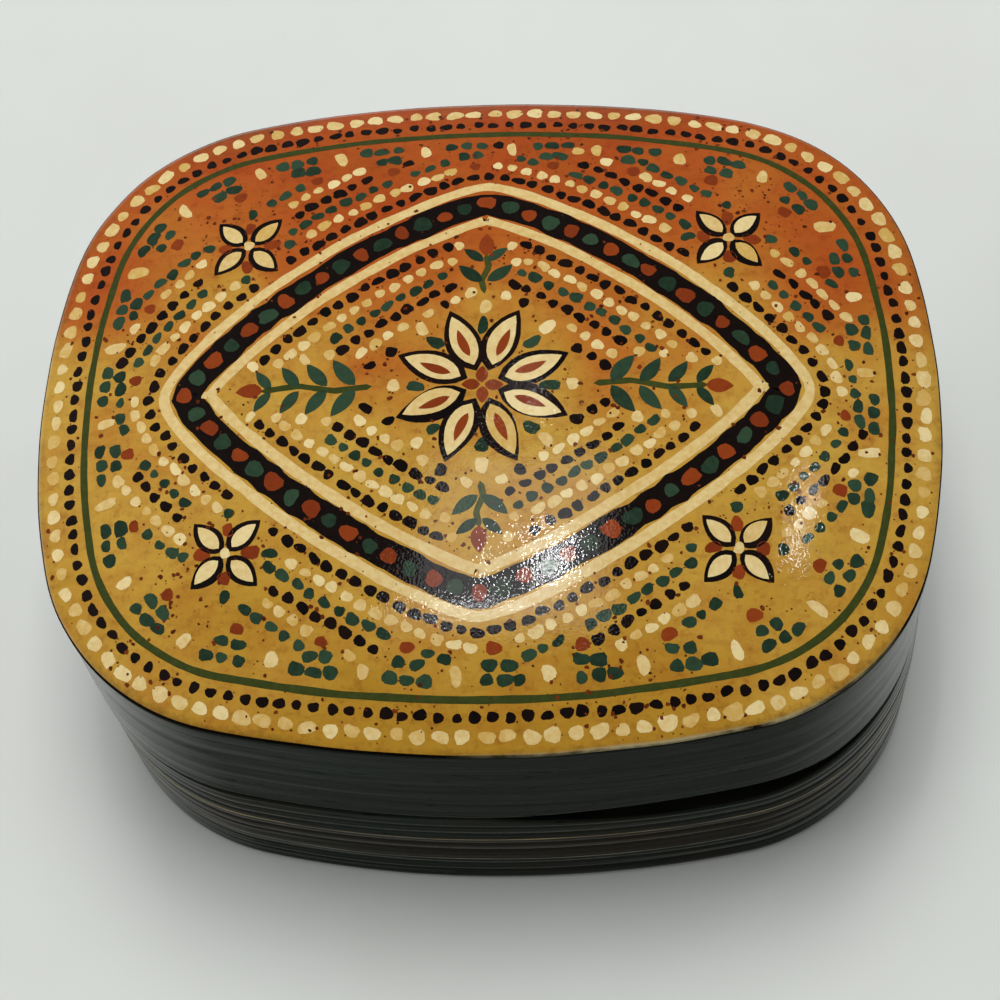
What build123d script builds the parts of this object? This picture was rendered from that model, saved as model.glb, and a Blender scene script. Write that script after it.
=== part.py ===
from build123d import *

import math
import os

# A papier-mache trinket box: a shallow rounded box with a deep lift-off lid.
# The plan is a soft rectangle of eight arcs. The base is a wound wall with a floor panel let into its foot,
# and a collar strip inside it that stands up past the rim. The lid is a second wound wall, closed by a
# crowned panel that carries a thin paper facing, and it slides down over the collar until it meets the base.
# Millimetres, +Z up, X along the length, origin on the table at the middle of the base.

# Plan of the box
BOX_LENGTH = 126.0
BOX_WIDTH = 103.0
CORNER_RADIUS = 32.0
FRONT_HALF_SWEEP = math.radians(12.0)
END_HALF_SWEEP = math.radians(13.0)

# Heights from the table
BASE_HEIGHT = 26.5
LID_HEIGHT = 25.5
CROWN_RISE = 7.0
CROWN_POWER = 2.6

# Base
WALL_THICKNESS = 3.6
FLOOR_THICKNESS = 3.0
FLOOR_REBATE = 1.4
FOOT_ROUND = 1.0
RIM_ROUND = 0.4

# Collar
COLLAR_THICKNESS = 1.8
COLLAR_RISE = 8.5
COLLAR_LEAD = 0.7

# Lid
COLLAR_CLEARANCE = 1.0
LID_OFFSET_X = -0.5
LID_OFFSET_Y = 0.4
PANEL_THICKNESS = 3.2
PANEL_EDGE = 1.1
PANEL_INSET = 0.35
FACING_THICKNESS = 0.6

# The lid's lower edge has warped up off the base at the front right corner, and a little at the left end.
# Directions are in degrees from +X, seen from above.
FRONT_WARP_DIRECTION = -52.0
FRONT_WARP_SPAN = 84.0
FRONT_WARP_LIFT = 2.2
END_WARP_DIRECTION = 206.0
END_WARP_SPAN = 40.0
END_WARP_LIFT = 0.7

# The crown's height follows a superellipse of this exponent, close to the plan's own outline
PLAN_EXPONENT = 3.05
CROWN_MARGIN = 2.0
CROWN_COLUMNS = 33
CROWN_ROWS = 27

# Edges this near a height or an outline are taken as lying on it
TOUCHING = 0.02

half_length = BOX_LENGTH / 2
half_width = BOX_WIDTH / 2
rim_height = BASE_HEIGHT + LID_HEIGHT
seat_height = rim_height - FACING_THICKNESS - PANEL_EDGE
lid_wall_thickness = WALL_THICKNESS - COLLAR_CLEARANCE
collar_top = BASE_HEIGHT + COLLAR_RISE
crown_top = rim_height + CROWN_RISE


def bow_radii():
    """Radii of the long front and back arcs, and of the end arcs, that meet the corner arcs tangentially."""
    sin_f, cos_f = math.sin(FRONT_HALF_SWEEP), math.cos(FRONT_HALF_SWEEP)
    sin_e, cos_e = math.sin(END_HALF_SWEEP), math.cos(END_HALF_SWEEP)
    reach_x = half_length - CORNER_RADIUS * (cos_e - sin_f)
    reach_y = half_width - CORNER_RADIUS * (cos_f - sin_e)
    # reach_x = front * sin_f + end * (1 - cos_e) and reach_y = front * (1 - cos_f) + end * sin_e
    determinant = sin_f * sin_e - (1 - cos_e) * (1 - cos_f)
    front = (reach_x * sin_e - reach_y * (1 - cos_e)) / determinant
    end = (reach_y * sin_f - reach_x * (1 - cos_f)) / determinant
    return front, end


front_radius, end_radius = bow_radii()
corner_x = (front_radius - CORNER_RADIUS) * math.sin(FRONT_HALF_SWEEP)
corner_y = (end_radius - CORNER_RADIUS) * math.sin(END_HALF_SWEEP)


def outline(inset):
    """The plan as a face on the table, drawn in from the outside of the wall by inset."""
    sweep_f = math.degrees(FRONT_HALF_SWEEP)
    sweep_e = math.degrees(END_HALF_SWEEP)
    corner_sweep = 90 - sweep_f - sweep_e
    end_centre = half_length - end_radius
    front_centre = half_width - front_radius
    arcs = [
        CenterArc((end_centre, 0), end_radius - inset, -sweep_e, 2 * sweep_e),
        CenterArc((corner_x, corner_y), CORNER_RADIUS - inset, sweep_e, corner_sweep),
        CenterArc((0, front_centre), front_radius - inset, 90 - sweep_f, 2 * sweep_f),
        CenterArc((-corner_x, corner_y), CORNER_RADIUS - inset, 90 + sweep_f, corner_sweep),
        CenterArc((-end_centre, 0), end_radius - inset, 180 - sweep_e, 2 * sweep_e),
        CenterArc((-corner_x, -corner_y), CORNER_RADIUS - inset, 180 + sweep_e, corner_sweep),
        CenterArc((0, -front_centre), front_radius - inset, 270 - sweep_f, 2 * sweep_f),
        CenterArc((corner_x, -corner_y), CORNER_RADIUS - inset, 270 + sweep_f, corner_sweep),
    ]
    return make_face(Curve() + arcs)


def prism(inset, low, high):
    """A solid block of the plan between two heights."""
    return extrude(Pos(0, 0, low) * outline(inset), amount=high - low)


def outer_edges_at(solid, height, inset):
    """The edges at one height that follow the plan drawn in by inset."""
    plan_edges = outline(inset).edges()
    level_edges = solid.edges().filter_by_position(Axis.Z, height - TOUCHING, height + TOUCHING)
    followed = []
    for edge in level_edges:
        middle = edge @ 0.5
        on_table = Vector(middle.X, middle.Y, 0)
        if min(plan_edge.distance_to(on_table) for plan_edge in plan_edges) < TOUCHING:
            followed.append(edge)
    return followed


def crown_height(x, y):
    """Height of the painted surface over a point of the plan."""
    share = abs(x / half_length) ** PLAN_EXPONENT + abs(y / half_width) ** PLAN_EXPONENT
    return rim_height + CROWN_RISE * (1 - share ** (CROWN_POWER / PLAN_EXPONENT))


def crown_slab(drop, thickness):
    """A curved slab of even upright thickness, its top lying drop below the painted surface."""
    reach_x = half_length + CROWN_MARGIN
    reach_y = half_width + CROWN_MARGIN
    grid = [
        [
            Vector(x, y, crown_height(x, y) - drop)
            for y in (reach_y * (2 * row / (CROWN_ROWS - 1) - 1) for row in range(CROWN_ROWS))
        ]
        for x in (reach_x * (2 * column / (CROWN_COLUMNS - 1) - 1) for column in range(CROWN_COLUMNS))
    ]
    skin = Face.make_surface_from_array_of_points(grid)
    return Solid.extrude(skin, Vector(0, 0, -thickness))


def make_base_wall():
    """The wound wall of the base, stepped at its foot to take the floor panel."""
    wall = prism(0, 0, BASE_HEIGHT) - prism(WALL_THICKNESS, 0, BASE_HEIGHT)
    wall -= prism(WALL_THICKNESS - FLOOR_REBATE, 0, FLOOR_THICKNESS)
    wall = fillet(outer_edges_at(wall, 0, 0), FOOT_ROUND)
    return fillet(outer_edges_at(wall, BASE_HEIGHT, 0), RIM_ROUND)


def make_base_floor():
    """The floor panel, let into the step at the foot of the wall."""
    return prism(WALL_THICKNESS - FLOOR_REBATE, 0, FLOOR_THICKNESS)


def make_collar():
    """The strip glued inside the base wall. It stands on the floor, and the lid slides down over it."""
    inner = WALL_THICKNESS + COLLAR_THICKNESS
    collar = prism(WALL_THICKNESS, FLOOR_THICKNESS, collar_top) - prism(inner, FLOOR_THICKNESS, collar_top)
    return chamfer(outer_edges_at(collar, collar_top, WALL_THICKNESS), COLLAR_LEAD)


def warp_arch(direction, span, lift):
    """A long shallow arch to cut up into the lid's lower edge, on one side of the box."""
    radius = span**2 / (8 * lift) + lift / 2
    barrel = Cylinder(radius, BOX_LENGTH, rotation=(0, 90, 0), align=(Align.CENTER, Align.CENTER, Align.MIN))
    return Rot(0, 0, direction) * Pos(0, 0, BASE_HEIGHT + lift - radius) * barrel


def make_lid_wall():
    """The wound wall of the lid, open below, with its lower edge warped up in two places."""
    wall = prism(0, BASE_HEIGHT, seat_height) - prism(lid_wall_thickness, BASE_HEIGHT, seat_height)
    wall = fillet(outer_edges_at(wall, BASE_HEIGHT, 0), RIM_ROUND)
    wall -= warp_arch(FRONT_WARP_DIRECTION, FRONT_WARP_SPAN, FRONT_WARP_LIFT)
    wall -= warp_arch(END_WARP_DIRECTION, END_WARP_SPAN, END_WARP_LIFT)
    return wall


def make_lid_panel():
    """The crowned panel. Its edge rests on the lid wall, and its underside drops just inside the wall."""
    block = prism(PANEL_INSET, seat_height, crown_top) + prism(lid_wall_thickness, BASE_HEIGHT, seat_height)
    return block & crown_slab(FACING_THICKNESS, PANEL_THICKNESS)


def make_lid_facing():
    """The thin painted facing that covers the crowned panel out to the face of the wall."""
    return prism(0, seat_height, crown_top) & crown_slab(0, FACING_THICKNESS)


def on_collar(piece):
    """A lid piece in its place on the box, a little off centre within the collar's clearance."""
    return Pos(LID_OFFSET_X, LID_OFFSET_Y, 0) * piece


def main():
    """Builds each piece and writes it as its own file."""
    pieces = {
        "base_wall": make_base_wall(),
        "base_floor": make_base_floor(),
        "inner_collar": make_collar(),
        "lid_wall": on_collar(make_lid_wall()),
        "lid_panel": on_collar(make_lid_panel()),
        "lid_facing": on_collar(make_lid_facing()),
    }
    os.makedirs("parts", exist_ok=True)
    for name, piece in pieces.items():
        export_step(piece, os.path.join("parts", name + ".step"))
        print(name, "solids", len(piece.solids()), "volume", round(piece.volume))


main()
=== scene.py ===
"""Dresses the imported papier-mache trinket box, and sets its floor, lamps and camera.

The box is shallow and rounded, with a deep lid that lifts off. Its walls are wound paper, brushed round with
charcoal green paint. The crowned lid carries a sized paper facing with a warm painted ground, and a pattern
of dots, bands and leaves is laid on it as raised paint, all under glossy varnish. Sizes are in millimetres
until a mesh is finished.
"""

from __future__ import annotations

import bisect
import logging
import math
import random
from collections.abc import Callable
from dataclasses import dataclass, field
from enum import Enum
from functools import cached_property

import bmesh
import bpy
from bmesh.types import BMEdge, BMesh, BMVert
from bpy.types import Material, Node, NodeSocket, NodeTree, Object
from mathutils import Matrix, Vector, noise

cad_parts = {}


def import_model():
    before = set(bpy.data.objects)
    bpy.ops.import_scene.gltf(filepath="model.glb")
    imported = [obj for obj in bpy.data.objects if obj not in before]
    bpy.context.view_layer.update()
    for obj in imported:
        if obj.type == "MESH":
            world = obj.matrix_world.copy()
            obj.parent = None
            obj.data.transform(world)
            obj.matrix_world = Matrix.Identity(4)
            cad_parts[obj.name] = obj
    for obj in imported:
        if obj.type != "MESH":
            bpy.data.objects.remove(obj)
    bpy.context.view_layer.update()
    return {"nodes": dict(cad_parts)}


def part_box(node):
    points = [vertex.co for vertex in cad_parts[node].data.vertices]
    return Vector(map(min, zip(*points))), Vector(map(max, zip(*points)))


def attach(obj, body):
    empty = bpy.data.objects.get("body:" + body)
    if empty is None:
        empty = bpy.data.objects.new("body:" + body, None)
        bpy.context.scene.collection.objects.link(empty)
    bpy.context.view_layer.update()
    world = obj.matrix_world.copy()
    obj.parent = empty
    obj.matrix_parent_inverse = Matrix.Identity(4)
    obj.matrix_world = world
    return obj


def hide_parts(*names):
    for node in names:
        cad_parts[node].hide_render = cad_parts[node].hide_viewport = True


LOG = logging.getLogger("trinket_box")
MM = 0.001
BRUSH_SEED = 11

# Inputs of a Mix node that mixes colours, which share their names with others and so go by number
SHARE, UNDER, OVER = 0, 6, 7

# The stretch of the lid's edge that is rubbed bare: its middle, and how far it reaches in full and at most
RUBBED_MIDDLE = (27.0, -48.0, 52.0)
RUBBED_REACH = (14.0, 32.0)


class Body(Enum):
    """The two bodies that the pieces ride on."""

    BASE = "base"
    LID = "lid"


class Slot(Enum):
    """Names of the record's material slots for the new pieces, which this script does not use."""

    WALL = "streaked_wall_paint"
    GROUND = "painted_ground"
    PAINT = "dot_paint"


class Ends(Enum):
    """How a stroke of paint ends."""

    CLOSED = "closed"
    ROUND = "round"
    LEAF = "leaf"


def linear(hex_colour: str) -> tuple[float, float, float, float]:
    """Turns an sRGB hex colour into linear light.

    Args:
        hex_colour: A colour such as "#c8801f".

    Returns:
        Linear red, green, blue and an alpha of 1.
    """
    parts = [int(hex_colour[i : i + 2], 16) / 255 for i in (1, 3, 5)]
    light = [c / 12.92 if c <= 0.04045 else ((c + 0.055) / 1.055) ** 2.4 for c in parts]
    return (*light, 1.0)


def per_mm(size: float) -> float:
    """The pattern scale, per metre, at which one feature measures this many millimetres."""
    return 1.0 / (size * MM)


def towards(angle: float) -> Vector:
    """The direction at an angle from +X, in plan."""
    return Vector((math.cos(angle), math.sin(angle)))


def left_of(ahead: Vector) -> Vector:
    """The direction to the left of another, in plan."""
    return Vector((-ahead.y, ahead.x))


def turned(ahead: Vector, angle: float) -> Vector:
    """Turns a direction in plan.

    Args:
        ahead: The direction.
        angle: How far it turns anticlockwise.

    Returns:
        The new direction.
    """
    other = ahead.copy()
    other.rotate(Matrix.Rotation(angle, 2))
    return other


def waver(spot: Vector, size: float, seed: float) -> float:
    """Smooth noise from -1 to 1 over the plan, whose waves measure a size."""
    return noise.noise(Vector((spot.x / size, spot.y / size, seed)))


class Mixer:
    """A node tree in the making, with the coordinates that its patterns read."""

    def __init__(self, tree: NodeTree, coordinates: str = "Object") -> None:
        """Empties the tree and opens the coordinates of that name."""
        self.tree = tree
        tree.nodes.clear()
        self.place = self.add("ShaderNodeTexCoord").outputs[coordinates]

    def add(self, kind: str, inputs: dict | None = None, stops: tuple = (), **settings: object) -> Node:
        """Adds a node with its settings and links.

        Args:
            kind: The node's type name.
            inputs: Values, sockets or nodes by the input's name or number. A node gives its first output
                that is in use.
            stops: The places and hex colours of a colour ramp.
            settings: The node's own properties.

        Returns:
            The new node.
        """
        node = self.tree.nodes.new(kind)
        for name, value in settings.items():
            setattr(node, name, value)
        for key, value in (inputs or {}).items():
            if isinstance(value, Node):
                value = next(output for output in value.outputs if output.enabled)
            if isinstance(value, NodeSocket):
                self.tree.links.new(value, node.inputs[key])
            else:
                node.inputs[key].default_value = value
        if stops:
            elements = node.color_ramp.elements
            while len(elements) < len(stops):
                elements.new(1.0)
            for element, (place, colour) in zip(elements, stops):
                element.position = place
                element.color = linear(colour)
        return node

    def brushed(self, grain: tuple[float, float, float], detail: float, roughness: float) -> Node:
        """Noise drawn out into streaks, as a brush leaves them.

        Args:
            grain: A streak's size along X, Y and Z, in millimetres.
            detail: How many finer layers the noise has.
            roughness: How strong the finer layers are.

        Returns:
            The noise.
        """
        scale = tuple(per_mm(size) for size in grain)
        drawn = self.add("ShaderNodeMapping", {"Vector": self.place, "Scale": scale})
        return self.add(
            "ShaderNodeTexNoise", {"Vector": drawn, "Scale": 1.0, "Detail": detail, "Roughness": roughness}
        )

    def patches(
        self,
        size: float,
        detail: float,
        roughness: float,
        cut: tuple[float, float],
        share: tuple[float, float] = (0.0, 1.0),
    ) -> Node:
        """Soft patches, where noise is cut to a share.

        Args:
            size: How wide a patch is, in millimetres.
            detail: How many finer layers the noise has.
            roughness: How strong the finer layers are.
            cut: The levels of the noise between which a patch rises.
            share: What the patches are worth below and above the cut.

        Returns:
            The share.
        """
        cloud = self.add(
            "ShaderNodeTexNoise",
            {"Vector": self.place, "Scale": per_mm(size), "Detail": detail, "Roughness": roughness},
        )
        levels = {"From Min": cut[0], "From Max": cut[1], "To Min": share[0], "To Max": share[1]}
        return self.add("ShaderNodeMapRange", {"Value": cloud, **levels})

    def toned(self, under: Node, pattern: Node, tones: tuple, strength: float) -> Node:
        """A colour multiplied by tones that follow a pattern.

        Args:
            under: The colour.
            pattern: The pattern, from 0 to 1.
            tones: The places and hex colours of the tones.
            strength: How far they tell.

        Returns:
            The toned colour.
        """
        tone = self.add("ShaderNodeValToRGB", {"Fac": pattern}, tones)
        colours = {SHARE: strength, UNDER: under, OVER: tone}
        return self.add("ShaderNodeMix", colours, data_type="RGBA", blend_type="MULTIPLY")

    def lumps(self, size: float, height: float, below: Node | None = None) -> Node:
        """Soft lumps that stand out from the surface.

        Args:
            size: How wide a lump is, in millimetres.
            height: How high it stands, in millimetres.
            below: The uneven surface that carries them, if there is one.

        Returns:
            The uneven surface.
        """
        swell = self.add(
            "ShaderNodeTexNoise",
            {"Vector": self.place, "Scale": per_mm(size), "Detail": 1.0, "Roughness": 0.5},
        )
        carried = {} if below is None else {"Normal": below}
        return self.add("ShaderNodeBump", {"Height": swell, "Distance": height * MM, **carried})

    def varnish(self) -> Node:
        """The uneven surface of brushed varnish, which breaks a lamp's reflection into sparks."""
        return self.lumps(0.38, 0.012, below=self.lumps(2.6, 0.007))

    def rubbed(self) -> Node:
        """How far the lid's edge is rubbed bare: only along a stretch at the front, and patchily there."""
        middle = tuple(part * MM for part in RUBBED_MIDDLE)
        away = self.add("ShaderNodeVectorMath", {0: self.place, 1: middle}, operation="DISTANCE")
        full, most = RUBBED_REACH
        near = self.add(
            "ShaderNodeMapRange",
            {"Value": away, "From Min": full * MM, "From Max": most * MM, "To Min": 1.0, "To Max": 0.0},
        )
        patchy = self.patches(5.0, 4.0, 0.65, (0.34, 0.6))
        return self.add("ShaderNodeMath", {0: near, 1: patchy}, operation="MULTIPLY")


@dataclass(frozen=True)
class Finish:
    """The finish of a piece, whose surface each kind of finish mixes in its own way."""

    name: str

    def surface(self, mix: Mixer) -> dict:
        """Mixes the surface in a tree, and gives its shader's inputs by name."""
        raise NotImplementedError

    def build(self) -> Material:
        """Makes the material."""
        material = bpy.data.materials.new(self.name)
        material.use_nodes = True
        mix = Mixer(material.node_tree)
        shader = mix.add("ShaderNodeBsdfPrincipled", self.surface(mix))
        mix.add("ShaderNodeOutputMaterial", {"Surface": shader})
        return material


@dataclass(frozen=True)
class WallPaint(Finish):
    """Brushed distemper under satin varnish, on wound paper.

    The stiff brush runs round the wall, so the colour lies in long level streaks, a shade up or down. Warm
    clouds lie over them, the base has a brown zone between its ruled lines, and chips show the black
    below. The varnish shines only where the wall turns away from the eye.
    """

    deep: str = "#0e130e"
    middle: str = "#191f18"
    pale: str = "#283028"
    warm: str = "#251d13"
    chip: str = "#0a0d0a"
    warmth: float = 0.25
    zone_warmth: float = 0.0
    zone: tuple[float, float] = (9.2, 18.1)
    zone_blur: float = 0.4
    gloss: float = 0.75
    gloss_turn: tuple[float, float] = (0.7, 0.92)
    streak: tuple[float, float, float] = (30.0, 30.0, 1.1)
    streak_depth: float = 0.035
    chip_size: tuple[float, float, float] = (5.0, 5.0, 0.9)
    chip_depth: float = 0.1

    def surface(self, mix: Mixer) -> dict:
        """Mixes the streaks, the clouds, the brown zone and the chips.

        Args:
            mix: The tree to mix them in.

        Returns:
            The shader's inputs.
        """
        streak = mix.brushed(self.streak, 4.0, 0.55)
        tones = ((0.28, self.deep), (0.5, self.middle), (0.74, self.pale))
        shade = mix.add("ShaderNodeValToRGB", {"Fac": streak}, tones)
        cloud = mix.patches(24.0, 2.0, 0.5, (0.45, 0.7), (0.0, self.warmth))
        height = mix.add("ShaderNodeSeparateXYZ", {"Vector": mix.place}).outputs["Z"]
        low, high = self.zone
        foot = {"From Min": (low - self.zone_blur) * MM, "From Max": (low + self.zone_blur) * MM}
        head = {"From Min": (high + self.zone_blur) * MM, "From Max": (high - self.zone_blur) * MM}
        above = mix.add("ShaderNodeMapRange", {"Value": height, **foot, "To Max": self.zone_warmth})
        below = mix.add("ShaderNodeMapRange", {"Value": height, **head})
        warm = mix.add(
            "ShaderNodeMath", {0: above, 1: below, 2: cloud}, operation="MULTIPLY_ADD", use_clamp=True
        )
        colours = {SHARE: warm, UNDER: shade, OVER: linear(self.warm)}
        warmed = mix.add("ShaderNodeMix", colours, data_type="RGBA")
        chips = mix.brushed(self.chip_size, 1.0, 0.4)
        chipped = mix.add("ShaderNodeMapRange", {"Value": chips, "From Min": 0.70, "From Max": 0.76})
        colours = {SHARE: chipped, UNDER: warmed, OVER: linear(self.chip)}
        colour = mix.add("ShaderNodeMix", colours, data_type="RGBA")
        ridges = mix.add("ShaderNodeBump", {"Height": streak, "Distance": self.streak_depth * MM})
        relief = {"Height": chipped, "Distance": self.chip_depth * MM, "Normal": ridges}
        pits = mix.add("ShaderNodeBump", relief, invert=True)
        facing = mix.add("ShaderNodeLayerWeight", {"Blend": 0.5}).outputs["Facing"]
        turn = {"From Min": self.gloss_turn[0], "From Max": self.gloss_turn[1], "To Max": self.gloss}
        return {
            "Base Color": colour,
            "Roughness": 0.2,
            "Specular IOR Level": 0.01,
            "Normal": pits,
            "Coat Weight": mix.add("ShaderNodeMapRange", {"Value": facing, **turn}),
            "Coat Roughness": 0.2,
            "Coat Normal": pits,
        }


@dataclass(frozen=True)
class BlackLacquer(Finish):
    """Brushed black lacquer over paper, nearly a mirror but for its soft brush lines."""

    colour: str = "#0b0b0c"
    worn: str = "#24221e"
    line: tuple[float, float, float] = (30.0, 3.0, 1.2)
    line_depth: float = 0.05

    def surface(self, mix: Mixer) -> dict:
        """Mixes the brush lines and the lumps of the paper below.

        Args:
            mix: The tree to mix them in.

        Returns:
            The shader's inputs.
        """
        line = mix.brushed(self.line, 3.0, 0.6)
        tone = mix.add("ShaderNodeValToRGB", {"Fac": line}, ((0.35, self.colour), (0.75, self.worn)))
        brush = mix.add("ShaderNodeBump", {"Height": line, "Distance": self.line_depth * MM})
        return {
            "Base Color": tone,
            "Roughness": 0.16,
            "Specular IOR Level": 0.15,
            "Normal": mix.lumps(1.6, 0.03, below=brush),
        }


@dataclass(frozen=True)
class PaintedGround(Finish):
    """Thin paint over sized paper, burnt orange at the back of the lid and ochre at the front, varnished.

    It was laid on with a broad brush along the box, so it is streaked that way, and it darkens to olive
    where the varnish gathered at the edge. The edge attribute holds how far in from the rim a point lies.
    """

    half_width: float = 51.5
    drift_size: float = 26.0
    drift: float = 0.16
    streak: tuple[float, float, float] = (7.0, 1.8, 8.0)
    blotch: str = "#a8601c"
    stain: str = "#54400f"
    bare: str = "#a8996f"
    ground: tuple[tuple[float, str], ...] = (
        (0.04, "#b4882a"),
        (0.22, "#c2973a"),
        (0.45, "#c69e42"),
        (0.54, "#c08d36"),
        (0.63, "#ba7029"),
        (0.76, "#b2581f"),
        (0.9, "#a94919"),
        (1.0, "#9e4419"),
    )
    streak_tones: tuple[tuple[float, str], ...] = ((0.25, "#d8cfc0"), (0.5, "#ffffff"), (0.8, "#fffdf4"))
    grain_tones: tuple[tuple[float, str], ...] = ((0.3, "#cda07c"), (0.5, "#ffffff"), (0.7, "#fff3c4"))

    def surface(self, mix: Mixer) -> dict:
        """Mixes the ground's colours, its streaks and blotches, and the stain and wear at its edge.

        Args:
            mix: The tree to mix them in.

        Returns:
            The shader's inputs.
        """
        drift = mix.add(
            "ShaderNodeTexNoise",
            {"Vector": mix.place, "Scale": per_mm(self.drift_size), "Detail": 3.0, "Roughness": 0.55},
        )
        levels = {"From Min": 0.3, "From Max": 0.7, "To Min": -self.drift, "To Max": self.drift}
        wander = mix.add("ShaderNodeMapRange", {"Value": drift, **levels})
        across = mix.add("ShaderNodeSeparateXYZ", {"Vector": mix.place}).outputs["Y"]
        reach = self.half_width * MM
        back = mix.add("ShaderNodeMapRange", {"Value": across, "From Min": -reach, "From Max": reach})
        depth = mix.add("ShaderNodeMath", {0: back, 1: wander}, operation="ADD")
        ground = mix.add("ShaderNodeValToRGB", {"Fac": depth}, self.ground)
        streaked = mix.toned(ground, mix.brushed(self.streak, 4.0, 0.65), self.streak_tones, 0.5)
        blotches = mix.patches(9.0, 6.0, 0.72, (0.45, 0.75), (0.0, 0.6))
        colours = {SHARE: blotches, UNDER: streaked, OVER: linear(self.blotch)}
        blotched = mix.add("ShaderNodeMix", colours, data_type="RGBA")
        grain = mix.add(
            "ShaderNodeTexNoise",
            {"Vector": mix.place, "Scale": per_mm(1.5), "Detail": 5.0, "Roughness": 0.75},
        )
        grained = mix.toned(blotched, grain, self.grain_tones, 0.6)
        edge = mix.add("ShaderNodeAttribute", attribute_name="edge").outputs["Fac"]
        fleck = mix.add(
            "ShaderNodeTexNoise",
            {"Vector": mix.place, "Scale": per_mm(1.0), "Detail": 5.0, "Roughness": 0.75},
        )
        ragged = mix.add("ShaderNodeMath", {0: fleck, 1: -2.6, 2: edge}, operation="MULTIPLY_ADD")
        levels = {"From Min": -1.4, "From Max": -0.2, "To Min": 0.65, "To Max": 0.0}
        rim = mix.add("ShaderNodeMapRange", {"Value": ragged, **levels})
        levels = {"From Min": 0.42, "From Max": 0.56, "To Min": 0.25}
        patch = mix.add("ShaderNodeMapRange", {"Value": drift, **levels})
        stain = mix.add("ShaderNodeMath", {0: rim, 1: patch}, operation="MULTIPLY")
        colours = {SHARE: stain, UNDER: grained, OVER: linear(self.stain)}
        stained = mix.add("ShaderNodeMix", colours, data_type="RGBA")
        levels = {"From Min": 0.15, "From Max": 0.5, "To Min": 1.0, "To Max": 0.0}
        corner = mix.add("ShaderNodeMapRange", {"Value": edge, **levels})
        bare = mix.add("ShaderNodeMath", {0: corner, 1: mix.rubbed()}, operation="MULTIPLY")
        colours = {SHARE: bare, UNDER: stained, OVER: linear(self.bare)}
        return varnished(mix, mix.add("ShaderNodeMix", colours, data_type="RGBA"))


def varnished(mix: Mixer, colour: Node) -> dict:
    """Matt paint under a coat of glossy varnish.

    Args:
        mix: The tree that the colour is in.
        colour: The paint's colour.

    Returns:
        The shader's inputs.
    """
    uneven = mix.varnish()
    return {
        "Base Color": colour,
        "Roughness": 0.6,
        "Specular IOR Level": 0.05,
        "Coat Weight": 1.0,
        "Coat Roughness": 0.012,
        "Normal": uneven,
        "Coat Normal": uneven,
    }


@dataclass(frozen=True)
class CutPaper(Finish):
    """The cut edge of sized paper, dull and fibrous, painted black and rubbed bare along the front."""

    bare: str = "#a99b74"
    painted: str = "#120e0a"

    def surface(self, mix: Mixer) -> dict:
        """Mixes the black paint and the bare paper, and gives the shader's inputs."""
        colours = {SHARE: mix.rubbed(), UNDER: linear(self.painted), OVER: linear(self.bare)}
        tone = mix.add("ShaderNodeMix", colours, data_type="RGBA")
        return {"Base Color": tone, "Roughness": 0.9, "Specular IOR Level": 0.0}


@dataclass(frozen=True)
class DotPaint(Finish):
    """Thick paint set down with a stick or a fine brush, then varnished with the ground.

    Each touch of the brush dries a shade of its own, which the tone attribute holds, and the pigment is
    mottled within a touch.
    """

    colour: str
    other: str
    mottle: float = 0.28

    def surface(self, mix: Mixer) -> dict:
        """Mixes the touches' shades and the mottle.

        Args:
            mix: The tree to mix them in.

        Returns:
            The shader's inputs.
        """
        tone = mix.add("ShaderNodeAttribute", attribute_name="tone").outputs["Fac"]
        mottle = mix.patches(0.9, 3.0, 0.6, (0.3, 0.7), (-self.mottle, self.mottle))
        share = mix.add("ShaderNodeMath", {0: tone, 1: mottle}, operation="ADD", use_clamp=True)
        colours = {SHARE: share, UNDER: linear(self.colour), OVER: linear(self.other)}
        return varnished(mix, mix.add("ShaderNodeMix", colours, data_type="RGBA"))


@dataclass(frozen=True)
class LinePaint(Finish):
    """A thin line of bronze-coloured paint, ruled by hand, that fades where the brush ran dry."""

    bright: str
    dull: str

    def surface(self, mix: Mixer) -> dict:
        """Mixes the bright paint and the dull, and gives the shader's inputs."""
        fade = mix.add(
            "ShaderNodeTexNoise",
            {"Vector": mix.place, "Scale": per_mm(14.0), "Detail": 4.0, "Roughness": 0.7},
        )
        tone = mix.add("ShaderNodeValToRGB", {"Fac": fade}, ((0.38, self.dull), (0.6, self.bright)))
        return {"Base Color": tone, "Roughness": 0.4}


@dataclass(frozen=True)
class PaleFloor(Finish):
    """A plain pale grey board, matt, with the faintest mottle."""

    pale: str = "#eaeee9"
    grey: str = "#e4e7e2"

    def surface(self, mix: Mixer) -> dict:
        """Mixes the board's two greys, and gives the shader's inputs."""
        mottle = mix.add(
            "ShaderNodeTexNoise",
            {"Vector": mix.place, "Scale": per_mm(60.0), "Detail": 3.0, "Roughness": 0.6},
        )
        tone = mix.add("ShaderNodeValToRGB", {"Fac": mottle}, ((0.3, self.grey), (0.7, self.pale)))
        return {"Base Color": tone, "Roughness": 0.8, "Specular IOR Level": 0.2}


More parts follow.
